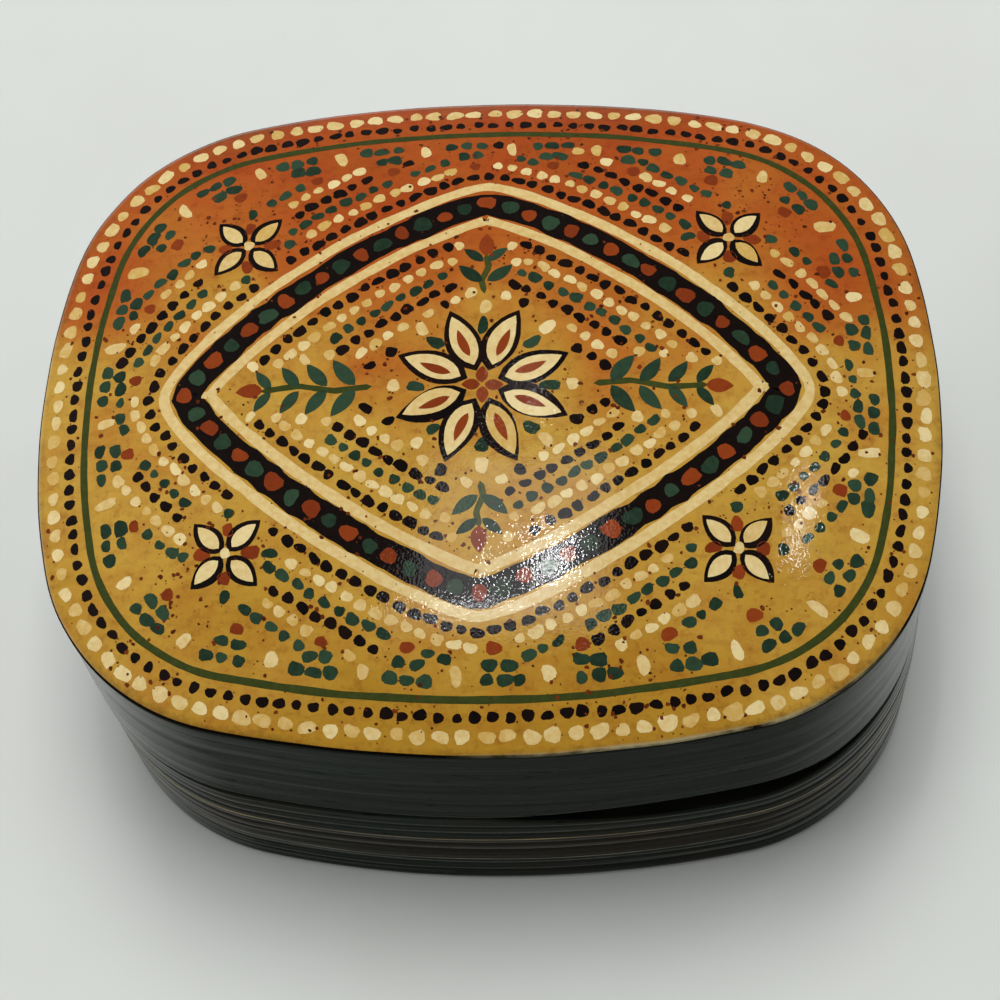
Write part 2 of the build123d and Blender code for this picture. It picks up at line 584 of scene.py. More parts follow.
def finish_mesh(
    shape: BMesh, name: str, body: Body, materials: list[Material], sharp_degrees: float = 50.0
) -> Object:
    """Turns a shape in millimetres into a piece of the box in metres.

    Args:
        shape: The bmesh, which is used up.
        name: The piece's name.
        body: The body that the piece rides on.
        materials: The materials, in the order of the faces' material numbers.
        sharp_degrees: Edges that turn by more than this stay sharp.

    Returns:
        The piece.
    """
    bmesh.ops.recalc_face_normals(shape, faces=shape.faces[:])
    bmesh.ops.scale(shape, vec=(MM, MM, MM), verts=shape.verts[:])
    for face in shape.faces:
        face.smooth = True
    limit = math.radians(sharp_degrees)
    for edge in shape.edges:
        edge.smooth = edge.calc_face_angle(0.0) < limit
    piece = add_object(shape, name, materials)
    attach(piece, body.value)
    LOG.info("%s: %d vertices, %d faces", name, len(piece.data.vertices), len(piece.data.polygons))
    return piece


def add_object(shape: BMesh, name: str, materials: list[Material]) -> Object:
    """Puts a shape into the scene.

    Args:
        shape: The bmesh in metres, which is used up.
        name: The object's name.
        materials: Its materials.

    Returns:
        The object.
    """
    mesh = bpy.data.meshes.new(name)
    shape.to_mesh(mesh)
    shape.free()
    for material in materials:
        mesh.materials.append(material)
    thing = bpy.data.objects.new(name, mesh)
    bpy.context.scene.collection.objects.link(thing)
    return thing


def loft(stations: int, rows: int, place: Callable[[int, int], Vector], poles: bool = False) -> BMesh:
    """Sweeps a ring of vertices from row to row by extruding its edges.

    Args:
        stations: How many vertices the ring has.
        rows: How many rings there are.
        place: Gives the point of a station in a row.
        poles: Whether the first and last rings close to a point, and otherwise to each other.

    Returns:
        The closed shape, whose vertices hold their station and row.
    """
    shape = bmesh.new()
    station_of = shape.verts.layers.int.new("station")
    row_of = shape.verts.layers.int.new("row")
    ring = bmesh.ops.create_circle(shape, segments=stations, radius=1.0)["verts"]
    for station, vert in enumerate(ring):
        vert[station_of] = station
        vert.co = place(station, 0)
    first = shape.edges[:]
    edges = first
    for row in range(1, rows):
        grown = bmesh.ops.extrude_edge_only(shape, edges=edges)["geom"]
        edges = [e for e in grown if isinstance(e, BMEdge) and e.is_boundary]
        for vert in {v for e in edges for v in e.verts}:
            vert[row_of] = row
            vert.co = place(vert[station_of], row)
    if poles:
        for loop in (first, edges):
            tip = list({v for e in loop for v in e.verts})
            middle = sum((v.co for v in tip), Vector()) / len(tip)
            bmesh.ops.pointmerge(shape, verts=tip, merge_co=middle)
    else:
        bmesh.ops.bridge_loops(shape, edges=first + edges)
    return shape


@dataclass(frozen=True)
class Arc:
    """One arc of the plan."""

    centre: Vector
    radius: float
    start: float
    sweep: float


@dataclass(frozen=True)
class Plan:
    """The soft rectangle of eight tangent arcs that every wall follows."""

    length: float = 126.0
    width: float = 103.0
    corner_radius: float = 32.0
    front_half_sweep: float = math.radians(12.0)
    end_half_sweep: float = math.radians(13.0)

    def bow_radii(self) -> tuple[float, float]:
        """Radii of the front and back arcs and of the end arcs, so that all meet tangentially."""
        sin_f, cos_f = math.sin(self.front_half_sweep), math.cos(self.front_half_sweep)
        sin_e, cos_e = math.sin(self.end_half_sweep), math.cos(self.end_half_sweep)
        reach_x = self.length / 2 - self.corner_radius * (cos_e - sin_f)
        reach_y = self.width / 2 - self.corner_radius * (cos_f - sin_e)
        determinant = sin_f * sin_e - (1 - cos_e) * (1 - cos_f)
        front = (reach_x * sin_e - reach_y * (1 - cos_e)) / determinant
        end = (reach_y * sin_f - reach_x * (1 - cos_f)) / determinant
        return front, end

    @cached_property
    def arcs(self) -> list[Arc]:
        """The eight arcs, anticlockwise from the right end."""
        front, end = self.bow_radii()
        sweep_f, sweep_e = self.front_half_sweep, self.end_half_sweep
        corner_x = (front - self.corner_radius) * math.sin(sweep_f)
        corner_y = (end - self.corner_radius) * math.sin(sweep_e)
        corner_sweep = math.pi / 2 - sweep_f - sweep_e
        arcs = []
        for turn in (0.0, math.pi):
            side = math.cos(turn)
            centre = Vector((side * (self.length / 2 - end), 0))
            arcs.append(Arc(centre, end, turn - sweep_e, 2 * sweep_e))
            centre = Vector((side * corner_x, side * corner_y))
            arcs.append(Arc(centre, self.corner_radius, turn + sweep_e, corner_sweep))
            centre = Vector((0, side * (self.width / 2 - front)))
            arcs.append(Arc(centre, front, turn + math.pi / 2 - sweep_f, 2 * sweep_f))
            centre = Vector((-side * corner_x, side * corner_y))
            arcs.append(Arc(centre, self.corner_radius, turn + math.pi / 2 + sweep_f, corner_sweep))
        return arcs

    @cached_property
    def girth(self) -> float:
        """The length of the whole outline."""
        return sum(arc.radius * arc.sweep for arc in self.arcs)

    def at(self, share: float) -> tuple[Vector, Vector]:
        """A point of the outline.

        Args:
            share: How far round the outline, from 0 to 1.

        Returns:
            The point and the direction that faces out there, in plan.
        """
        left = (share % 1.0) * self.girth
        for arc in self.arcs:
            span = arc.radius * arc.sweep
            if left <= span:
                break
            left -= span
        out = towards(arc.start + left / arc.radius)
        return arc.centre + out * arc.radius, out


@dataclass(frozen=True)
class Crown:
    """The lid's pillow-shaped top, a little uneven as hand-laid paper is."""

    plan: Plan
    centre: Vector
    rim: float
    top: float
    plan_exponent: float = 3.05
    power: float = 2.6
    sink: float = 0.13
    swell: float = 0.1
    swell_size: float = 17
    dimple: float = 0.05
    dimple_size: float = 5.5

    def outward(self, spot: Vector, inset: float = 0.0) -> float:
        """How far out a spot lies, from 0 at the lid's middle to 1 at the rim drawn in by an inset."""
        along = abs(spot.x / (self.plan.length / 2 - inset)) ** self.plan_exponent
        return along + abs(spot.y / (self.plan.width / 2 - inset)) ** self.plan_exponent

    def height(self, spot: Vector) -> float:
        """Height of the ground's surface.

        Args:
            spot: A spot in plan, measured from the lid's middle.

        Returns:
            The height above the table.
        """
        fall = self.outward(spot) ** (self.power / self.plan_exponent)
        smooth = self.rim + (self.top - self.rim) * (1 - fall)
        swell = self.swell * waver(spot, self.swell_size, 3.7)
        dimple = self.dimple * waver(spot, self.dimple_size, 9.1)
        return smooth - self.sink + 0.5 * (swell + dimple)

    def over(self, spot: Vector, lift: float) -> Vector:
        """The point that stands lift above the ground's surface over a spot."""
        return Vector((spot.x + self.centre.x, spot.y + self.centre.y, self.height(spot) + lift))


@dataclass(frozen=True)
class Ridges:
    """Long level ridges that wound paper strips and a stiff brush leave on a wall."""

    depth: float
    spacing: float
    run: float
    seed: float
    sharpness: float = 1.6

    def at(self, point: Vector) -> float:
        """How far the surface lies in at a point of the wall, from 0 to the depth."""
        wave = self.sharpness * waver(point, self.run, point.z / self.spacing + self.seed)
        return self.depth * (0.5 - 0.5 * max(-1.0, min(1.0, wave)))


@dataclass(frozen=True)
class Score:
    """A fine groove that runs level round the base, and drifts a little as it goes."""

    height: float
    half_width: float
    depth: float
    drift: float = 0.35
    drift_run: float = 30

    def at(self, point: Vector) -> float:
        """How far the surface lies in at a point of the wall."""
        drift = self.drift * waver(point, self.drift_run, self.height)
        away = (point.z - self.height - drift) / self.half_width
        return self.depth * math.exp(-away * away)


@dataclass(frozen=True)
class Warp:
    """A stretch of a wall's edge that has bent out of level.

    It lies round a heading from the middle of the box, in degrees, and tails off before and after it. A
    negative lift is a dip.
    """

    heading: float
    before: float
    after: float
    lift: float

    def at(self, point: Vector) -> float:
        """How far the edge is lifted.

        Args:
            point: A point of the outline.

        Returns:
            The lift there.
        """
        heading = towards(math.radians(self.heading))
        if heading.dot(point) <= 0:
            return 0.0
        across = heading.x * point.y - heading.y * point.x
        reach = self.after if across > 0 else self.before
        left = max(0.0, 1 - (across / reach) ** 2)
        return self.lift * (left**2 if across > 0 else left)


def corner_cut(distance: float, radius: float) -> float:
    """How far a rounded edge falls back.

    Args:
        distance: How far from the edge, down the face.
        radius: The radius that the edge is rounded to.

    Returns:
        The fall there.
    """
    if distance >= radius:
        return 0.0
    across = radius - distance
    return radius - math.sqrt(radius * radius - across * across)


@dataclass
class Wall:
    """A wound wall of the box: its outer face has relief, and its inside is plain.

    A skin of paint covers it, and the hand that pressed the strips left it uneven over long stretches. The
    rounds are the radii of its outer edges, at the bottom and at the top.
    """

    plan: Plan
    low: float
    high: float
    thickness: float
    centre: Vector = field(default_factory=lambda: Vector((0, 0)))
    stations: int = 340
    row_height: float = 0.36
    skin: float = 0.05
    unevenness: float = 0.22
    hand_run: float = 38
    hand_rise: float = 30
    rounds: tuple[float, float] = (0.15, 0.1)
    ridges: tuple[Ridges, ...] = ()
    scores: tuple[Score, ...] = ()

    @cached_property
    def steps(self) -> int:
        """How many steps the outer face takes from its bottom to its top."""
        return max(2, round((self.high - self.low) / self.row_height))

    @cached_property
    def inner_rows(self) -> list[tuple[float, float]]:
        """The inset and height of the rows that follow the outer face, from its top round the inside."""
        return [(self.thickness, self.high), (self.thickness, self.low)]

    def depth(self, point: Vector) -> float:
        """How far in from the true outline the painted surface lies at a point of the wall."""
        ridges = sum(ridge.at(point) for ridge in self.ridges)
        scores = sum(score.at(point) for score in self.scores)
        hand = self.unevenness * (0.5 - 0.5 * waver(point, self.hand_run, point.z / self.hand_rise))
        return self.skin + max(0.0, ridges + scores) + hand

    def low_edge(self, point: Vector) -> float:
        """Height of the lower edge at a point of the outline."""
        return self.low

    def high_edge(self, point: Vector) -> float:
        """Height of the upper edge at a point of the outline."""
        return self.high

    def surface(self, share: float, height: float, proud: float = 0.0) -> Vector:
        """A point of the painted surface.

        Args:
            share: How far round the wall, from 0 to 1.
            height: Height above the table.
            proud: How far the point stands off the paint.

        Returns:
            The point.
        """
        flat, out = self.plan.at(share)
        depth = self.depth(Vector((*flat, height)))
        return Vector((*(flat + self.centre - out * (depth - proud)), height))

    def vertex(self, station: int, row: int) -> Vector:
        """The place of a vertex.

        Args:
            station: Its number round the wall.
            row: Its ring, from the bottom up the outer face and down the inside.

        Returns:
            The point.
        """
        share = station / self.stations
        flat, out = self.plan.at(share)
        low, high = self.low_edge(flat), self.high_edge(flat)
        if row > self.steps:
            inset, height = self.inner_rows[row - self.steps - 1]
            level = {self.low: low, self.high: high}.get(height, height)
            return Vector((*(flat + self.centre - out * inset), level))
        height = low + (high - low) * row / self.steps
        bottom, top = self.rounds
        cut = corner_cut(height - low, bottom) + corner_cut(high - height, top)
        return self.surface(share, height) - Vector((*out, 0)) * cut

    def build(self) -> BMesh:
        """Makes the wall's closed shape; its edges and its inside have the second material."""
        shape = loft(self.stations, self.steps + 1 + len(self.inner_rows), self.vertex)
        row_of = shape.verts.layers.int["row"]
        for face in shape.faces:
            face.material_index = int(max(vert[row_of] for vert in face.verts) > self.steps)
        return shape


@dataclass
class BaseWall(Wall):
    """The base's wall, stepped inside its foot for the floor panel."""

    rounds: tuple[float, float] = (1.0, 0.2)
    floor_top: float = 3.0
    rebate: float = 1.4
    dip: Warp = Warp(heading=-60.6, before=27.8, after=41.0, lift=-2.24)
    lean_from: float = 16.0
    lid_seat: Vector = field(default_factory=lambda: Vector((-0.5, 0.4)))

    @cached_property
    def inner_rows(self) -> list[tuple[float, float]]:
        """The inside face, and the step that takes the floor panel."""
        step = self.thickness - self.rebate
        face = [(self.thickness, self.high), (self.thickness, self.floor_top)]
        return face + [(step, self.floor_top), (step, self.low)]

    def depth(self, point: Vector) -> float:
        """How far in the surface lies: it leans in to meet the off-centre lid, but not where the rim dips.

        Args:
            point: A point of the wall.

        Returns:
            The depth there.
        """
        exposed = max(0.0, -self.lid_seat.dot(point.xy.normalized()))
        exposed *= 1 - self.dip.at(point.xy) / self.dip.lift
        rise = max(0.0, (point.z - self.lean_from) / (self.high - self.lean_from))
        return super().depth(point) + exposed * rise * rise

    def high_edge(self, point: Vector) -> float:
        """Height of the upper edge, which has sunk a little at the front right."""
        return self.high + self.dip.at(point)


@dataclass
class LidWall(Wall):
    """The lid's wall, whose lower edge has warped up off the base in two places.

    A thin lip of filler and paint stands at its top and hides the edge of the crowned panel.
    """

    warps: tuple[Warp, ...] = ()
    lip: float = 1.05
    lip_inset: float = 0.33
    lip_depth: float = 0.17
    lip_blend: float = 4

    @cached_property
    def inner_rows(self) -> list[tuple[float, float]]:
        """The lip, the seat of the panel and the inside face."""
        seat = self.high - self.lip
        lip = [(self.lip_inset, self.high), (self.lip_inset, seat)]
        return lip + [(self.thickness, seat), (self.thickness, self.low)]

    def depth(self, point: Vector) -> float:
        """How far in the surface lies, which near the top is no further than the lip allows."""
        rise = min(1.0, max(0.0, 1 - (self.high - self.lip - point.z) / self.lip_blend))
        return super().depth(point) * (1 - rise) + self.lip_depth * rise

    def low_edge(self, point: Vector) -> float:
        """Height of the warped lower edge."""
        return self.low + max(warp.at(point) for warp in self.warps)


@dataclass
class Facing:
    """The thin paper facing that covers the crown, painted on top and cut by hand at the rim."""

    crown: Crown
    thickness: float = 0.6
    stations: int = 288
    top_rings: int = 64
    under_rings: int = 10
    edge_round: float = 0.16
    trim: float = 0.05
    trim_wander: float = 0.22
    trim_wave: float = 9

    @cached_property
    def half(self) -> float:
        """The inset of the facing's middle."""
        return self.crown.plan.width / 2

    @cached_property
    def rows(self) -> list[tuple[float, float]]:
        """The inset from the rim and the drop of each ring, out over the top and back underneath."""
        top = [(self.half * (1 - (k / self.top_rings) ** 0.8), 0.0) for k in range(1, self.top_rings)]
        rim = [(self.edge_round, 0.0), (0.05, 0.05), (0.0, self.edge_round), (0.0, self.thickness)]
        under = [(self.half * (k / self.under_rings), self.thickness) for k in range(1, self.under_rings)]
        return top + rim + under

    def vertex(self, station: int, row: int) -> Vector:
        """The place of a vertex.

        Args:
            station: Its number round the facing.
            row: Its ring.

        Returns:
            The point.
        """
        inset, drop = self.rows[row]
        flat, out = self.crown.plan.at(station / self.stations)
        ragged = self.trim + self.trim_wander * (0.5 + 0.5 * waver(flat, self.trim_wave, 1.3))
        return self.crown.over((flat - out * ragged) * (1 - inset / self.half), -drop)

    def build(self) -> BMesh:
        """Makes the facing's closed shape, whose cut edge and underside have the second material."""
        shape = loft(self.stations, len(self.rows), self.vertex, poles=True)
        edge = shape.verts.layers.float.new("edge")
        row_of = shape.verts.layers.int["row"]
        for vert in shape.verts:
            vert[edge] = self.rows[vert[row_of]][0]
        for face in shape.faces:
            nearest = min(vert[row_of] for vert in face.verts)
            face.material_index = int(nearest >= self.top_rings - 1)
        return shape


class Path:
    """A line in the plan of the lid that paint follows."""

    def __init__(self, points: list[Vector], closed: bool = False) -> None:
        """Takes the line's points, and whether it runs back to the first of them."""
        self.points = points
        self.closed = closed
        ends = points[1:] + points[:1] if closed else points[1:]
        self.marks = [0.0]
        for start, end in zip(points, ends):
            self.marks.append(self.marks[-1] + (end - start).length)

    @property
    def length(self) -> float:
        """The line's length."""
        return self.marks[-1]

    def at(self, distance: float) -> tuple[Vector, Vector]:
        """A place on the line.

        Args:
            distance: How far along the line, which starts again where it is closed.

        Returns:
            The point, and the direction that the line has there.
        """
        distance = distance % self.length if self.closed else min(max(distance, 0.0), self.length)
        index = min(max(bisect.bisect_left(self.marks, distance) - 1, 0), len(self.marks) - 2)
        start = self.points[index]
        end = self.points[(index + 1) % len(self.points)]
        share = (distance - self.marks[index]) / max(1e-9, self.marks[index + 1] - self.marks[index])
        return start.lerp(end, share), (end - start).normalized()

    def offset(self, sideways: float) -> Path:
        """The line moved aside.

        Args:
            sideways: How far to its left.

        Returns:
            The new line.
        """
        count = len(self.points)
        moved = []
        for index, point in enumerate(self.points):
            before = self.points[(index - 1) % count] if self.closed or index else point
            after = self.points[(index + 1) % count] if self.closed or index < count - 1 else point
            moved.append(point + left_of((after - before).normalized()) * sideways)
        return Path(moved, self.closed)

    def spaced(self, pitch: float) -> list[tuple[Vector, Vector]]:
        """Places along the line, evenly spaced at about a pitch, each with the line's direction."""
        count = max(1, round(self.length / pitch))
        last = count if self.closed else count + 1
        return [self.at(self.length * k / count) for k in range(last)]


class PaintLayer:
    """The touches of one colour of paint on the lid, as one mesh of thin closed shapes."""

    DOT_SIDES = 11
    SQUARENESS = 0.2
    WOBBLE = 0.09
    RAGGED = 0.07
    STROKE_ROWS = 4
    STROKE_RAGGED = 0.2
    STROKE_WANDER = 0.12
    SEAM = 0.0005
    SUNK = 0.1
    FILM = 0.02
    BATCH = 1500

    def __init__(self, name: str, finish: DotPaint, crown: Crown, brush: random.Random) -> None:
        """Takes the piece's name, its finish, the crown that it lies on and the hand's random numbers."""
        self.name = name
        self.finish = finish
        self.crown = crown
        self.brush = brush
        self.whole = bmesh.new()
        self.shape = bmesh.new()
        self.tone = self.shape.verts.layers.float.new("tone")

    def gather(self) -> None:
        """Adds the latest touches to the whole layer, because the operators are slow on a large mesh."""
        part = bpy.data.meshes.new("touches")
        self.shape.to_mesh(part)
        self.whole.from_mesh(part)
        bpy.data.meshes.remove(part)
        self.shape.clear()
        self.tone = self.shape.verts.layers.float.new("tone")

    def dot(self, at: Vector, ahead: Vector, length: float, width: float, lift: float = 0.0) -> None:
        """Sets down one touch of paint.

        Args:
            at: Its middle, in plan.
            ahead: The direction of its length.
            length: Its whole length.
            width: Its whole width.
            lift: How high the paint below it stands.
        """
        shade = self.brush.random()
        start = self.brush.uniform(0, math.tau)
        square = self.brush.uniform(0.0, self.SQUARENESS)
        foot = bmesh.ops.create_circle(self.shape, segments=self.DOT_SIDES, radius=1.0)["verts"]
        for vert in foot:
            angle = math.atan2(vert.co.y, vert.co.x)
            reach = 1 + square * abs(math.sin(2 * angle)) + self.WOBBLE * math.sin(3 * angle + start)
            reach += self.brush.uniform(-self.RAGGED, self.RAGGED)
            vert.co *= reach
        edges = list({edge for vert in foot for edge in vert.link_edges})
        grown = bmesh.ops.extrude_edge_only(self.shape, edges=edges)["geom"]
        crest = [v for v in grown if isinstance(v, BMVert)]
        top = [e for e in grown if isinstance(e, BMEdge) and e.is_boundary]
        bmesh.ops.edgeloop_fill(self.shape, edges=edges)
        bmesh.ops.edgeloop_fill(self.shape, edges=top)
        side = left_of(ahead)
        for verts, rise in ((foot, -self.SUNK), (crest, lift + self.FILM)):
            for vert in verts:
                spot = at + ahead * (vert.co.x * length / 2) + side * (vert.co.y * width / 2)
                vert.co = self.crown.over(spot, rise)
                vert[self.tone] = shade
        if len(self.shape.verts) > self.BATCH:
            self.gather()

    def stroke(self, path: Path, width: float, ends: Ends, lift: float = 0.0, step: float = 1.1) -> None:
        """Draws one stroke of the brush.

        Args:
            path: The line that it follows.
            width: Its whole width.
            ends: How it starts and stops.
            lift: How high the paint below it stands.
            step: The distance between its cross-sections.
        """
        shade = self.brush.random()
        drift = self.brush.uniform(0, 100)
        spans = max(6, round(path.length / step))
        rows = self.STROKE_ROWS
        grid = bmesh.ops.create_grid(self.shape, x_segments=spans, y_segments=rows, size=1.0)["verts"]
        faces = list({face for vert in grid for face in vert.link_faces})
        for vert in grid:
            share = (vert.co.x + 1) / 2
            across = vert.co.y
            middle, ahead = path.at(share * path.length if share < 1 or not path.closed else 0.0)
            reach = width / 2 * self.swell(share, path.length, width, ends)
            if ends is not Ends.LEAF:
                reach *= 1 + self.STROKE_RAGGED * waver(middle, 2.3, drift)
            wander = self.STROKE_WANDER * width**0.5 * waver(middle, 7, drift + 3)
            spot = middle + left_of(ahead) * (reach * across + wander)
            vert.co = self.crown.over(spot, lift + self.FILM)
            vert[self.tone] = shade
        if ends is Ends.CLOSED:
            bmesh.ops.remove_doubles(self.shape, verts=grid, dist=self.SEAM)
            faces = [face for face in faces if face.is_valid]
        under = bmesh.ops.extrude_face_region(self.shape, geom=faces)["geom"]
        lower = [v for v in under if isinstance(v, BMVert)]
        bmesh.ops.translate(self.shape, vec=(0, 0, -self.SUNK), verts=lower)
        self.gather()

    @staticmethod
    def swell(share: float, length: float, width: float, ends: Ends) -> float:
        """How wide a stroke is at a place.

        Args:
            share: How far along it the place lies, from 0 to 1.
            length: The stroke's length.
            width: Its whole width.
            ends: How it starts and stops.

        Returns:
            The share of the whole width, from 0 to 1.
        """
        if ends is Ends.CLOSED:
            return 1.0
        if ends is Ends.LEAF:
            return max(0.02, math.sin(math.pi * share**0.85) ** 0.8)
        away = min(share, 1 - share) * length
        tip = width / 2
        if away >= tip:
            return 1.0
        return max(0.05, math.sqrt(1 - (1 - away / tip) ** 2))

    def build(self) -> Object:
        """Makes the piece."""
        self.gather()
        self.shape.free()
        finishes = [self.finish.build()]
        return finish_mesh(self.whole, self.name, Body.LID, finishes, sharp_degrees=35.0)


class Colour(Enum):
    """The paints on the lid."""

    CREAM = "cream"
    BLACK = "black"
    TEAL = "teal"
    OLIVE = "olive"
    RUST = "rust"
    SPATTER = "spatter"


PAINTS = {
    Colour.CREAM: DotPaint("cream_dot_paint", "#ead59b", "#d0a95a"),
    Colour.BLACK: DotPaint("black_dot_paint", "#080302", "#180a05"),
    Colour.TEAL: DotPaint("dark_teal_dot_paint", "#1b2f20", "#304833"),
    Colour.OLIVE: DotPaint("olive_line_paint", "#363f17", "#4d5224"),
    Colour.RUST: DotPaint("rust_dot_paint", "#7a300f", "#903d13"),
    Colour.SPATTER: DotPaint("brown_spatter", "#4a1a08", "#74340f"),
}


@dataclass
class Painting:
    """The pattern on the lid: an edging, a lozenge of bands, a flower with sprays, and rows of dots.

    A lift is the thickness of the paint below a touch.
    """

    crown: Crown
    brush: random.Random
    lozenge_length: float = 41.5
    lozenge_width: float = 30.5
    lozenge_power: float = 1.25
    teeth: int = 26
    petals: int = 8
    first_row: float = 5.3
    row_spacing: float = 2.15
    row_dot: float = 1.55
    row_edge: float = 8.8
    bare_gap: float = 0.25
    specks: int = 1500
    speck_size: float = 0.16
    speck_range: float = 0.42
    speck_edge: float = 1.6
    corner: tuple[float, float] = (34.2, 24.2)
    layers: dict[Colour, PaintLayer] = field(default_factory=dict)
    taken: dict[tuple[int, int], list[tuple[Vector, float]]] = field(default_factory=dict)

    CELL = 6.0
    STRAY = 0.2
    TWIST = 0.35
    LENGTHS = (0.78, 1.22)
    WIDTHS = (0.8, 1.15)
    LEAF_BEND = 0.05

    def __post_init__(self) -> None:
        """Opens a layer for each paint."""
        for colour, finish in PAINTS.items():
            name = f"{colour.value}_paint"
            self.layers[colour] = PaintLayer(name, finish, self.crown, self.brush)

    def take(self, at: Vector, radius: float) -> None:
        """Marks a round patch of the lid as painted."""
        cell = (math.floor(at.x / self.CELL), math.floor(at.y / self.CELL))
        self.taken.setdefault(cell, []).append((at.copy(), radius))

    def free(self, at: Vector, radius: float) -> bool:
        """Whether a round patch of the lid is still bare.

        Args:
            at: Its middle.
            radius: Its radius.

        Returns:
            True where nothing is painted on it.
        """
        column, row = math.floor(at.x / self.CELL), math.floor(at.y / self.CELL)
        for near_column in range(column - 1, column + 2):
            for near_row in range(row - 1, row + 2):
                for other, reach in self.taken.get((near_column, near_row), ()):
                    if (other - at).length < radius + reach:
                        return False
        return True

    def inside(self, at: Vector, inset: float) -> bool:
        """Whether a point lies further in from the lid's edge than an inset."""
        return self.crown.outward(at, inset) < 1

    def outline(self, inset: float, count: int = 360) -> Path:
        """The lid's outline, drawn in by an inset and taken at a count of points."""
        places = [self.crown.plan.at(k / count) for k in range(count)]
        return Path([flat - out * inset for flat, out in places], closed=True)

    def lozenge(self, count: int = 240) -> Path:
        """The line of the lozenge, with slightly bowed sides and soft tips, taken at a count of points."""
        points = []
        for k in range(count):
            angle = math.tau * k / count
            x = math.copysign(abs(math.cos(angle)) ** (2 / self.lozenge_power), math.cos(angle))
            y = math.copysign(abs(math.sin(angle)) ** (2 / self.lozenge_power), math.sin(angle))
            points.append(Vector((x * self.lozenge_length, y * self.lozenge_width)))
        return Path(points, closed=True)

    def touch(
        self, colour: Colour, at: Vector, ahead: Vector, length: float, width: float, lift: float = 0.0
    ) -> None:
        """Sets down a dot with the small unevenness of a hand, and marks its place as painted.

        Args:
            colour: Its paint.
            at: Its middle.
            ahead: The direction of its length.
            length: Its length.
            width: Its width.
            lift: How high the paint below it stands.
        """
        stray = (self.brush.uniform(-self.STRAY, self.STRAY), self.brush.uniform(-self.STRAY, self.STRAY))
        at = at + Vector(stray)
        ahead = turned(ahead, self.brush.uniform(-self.TWIST, self.TWIST))
        length *= self.brush.uniform(*self.LENGTHS)
        width *= self.brush.uniform(*self.WIDTHS)
        self.layers[colour].dot(at, ahead, length, width, lift)
        self.take(at, (length + width) / 4)

    def row(
        self, colours: list[Colour], path: Path, pitch: float, length: float, width: float, lift: float = 0.0
    ) -> None:
        """Sets down a row of dots.

        Args:
            colours: Their paints, in turn.
            path: The line that they follow.
            pitch: The distance between them.
            length: Their length.
            width: Their width.
            lift: How high the paint below them stands.
        """
        for index, (at, ahead) in enumerate(path.spaced(pitch)):
            self.touch(colours[index % len(colours)], at, ahead, length, width, lift)

    def filler(self, colour: Colour, path: Path, pitch: float) -> None:
        """Sets down a row of small dots wherever the lid is still bare.

        Args:
            colour: Their paint.
            path: The line that they follow.
            pitch: The distance between them.
        """
        for at, ahead in path.spaced(pitch):
            if self.inside(at, self.row_edge) and self.free(at, self.row_dot / 2 + self.bare_gap):
                self.touch(colour, at, ahead, self.row_dot * 1.1, self.row_dot * 0.9)

    def band(self, colour: Colour, path: Path, width: float) -> None:
        """Draws a closed band of paint, and marks its place as painted.

        Args:
            colour: Its paint.
            path: Its middle line.
            width: Its width.
        """
        self.layers[colour].stroke(path, width, Ends.CLOSED)
        for at, _ in path.spaced(width * 0.6):
            self.take(at, width / 2)

    def leaf(
        self, colour: Colour, root: Vector, ahead: Vector, length: float, width: float, lift: float = 0.0
    ) -> None:
        """Draws a leaf or petal with a slight bend of its own.

        Args:
            colour: Its paint.
            root: Where it starts.
            ahead: The direction that it grows in.
            length: Its length.
            width: Its width.
            lift: How high the paint below it stands.
        """
        bend = left_of(ahead) * self.brush.uniform(-self.LEAF_BEND, self.LEAF_BEND) * length
        line = [root + ahead * (length * t) + bend * math.sin(math.pi * t) for t in (0, 0.25, 0.5, 0.75, 1)]
        self.layers[colour].stroke(Path(line), width, Ends.LEAF, lift, step=length / 9)
        for share in (0.15, 0.38, 0.62, 0.85):
            self.take(root + ahead * (length * share), width * 0.42)

    def edging(self) -> None:
        """The border that follows the lid's edge: two rows of dots, a line, and teeth of dots."""
        self.row([Colour.CREAM], self.outline(2.5), pitch=2.95, length=2.1, width=1.8)
        self.row([Colour.BLACK], self.outline(5.0), pitch=2.35, length=1.6, width=1.4)
        self.band(Colour.OLIVE, self.outline(7.1), width=1.0)
        steps = ((9.5, 3, Colour.TEAL), (11.6, 2, Colour.TEAL), (13.7, 1, Colour.RUST))
        for tooth in range(self.teeth):
            for inset, count, colour in steps:
                path = self.outline(inset)
                middle = path.length * (tooth + 0.5) / self.teeth
                for k in range(count):
                    at, ahead = path.at(middle + (k - (count - 1) / 2) * 2.25)
                    self.touch(colour, at, ahead, length=1.95, width=1.65)
        between = self.outline(10.2)
        for tooth in range(self.teeth):
            at, ahead = between.at(between.length * tooth / self.teeth)
            self.touch(Colour.CREAM, at, left_of(ahead), length=2.6, width=1.6)

    def lozenge_bands(self) -> None:
        """The black band with coloured dots on it, between two cream bands."""
        line = self.lozenge()
        self.band(Colour.CREAM, line.offset(3.15), width=1.5)
        self.band(Colour.BLACK, line, width=4.2)
        self.band(Colour.CREAM, line.offset(-3.15), width=1.5)
        self.row([Colour.RUST, Colour.TEAL], line, pitch=3.25, length=2.35, width=2.15, lift=0.02)

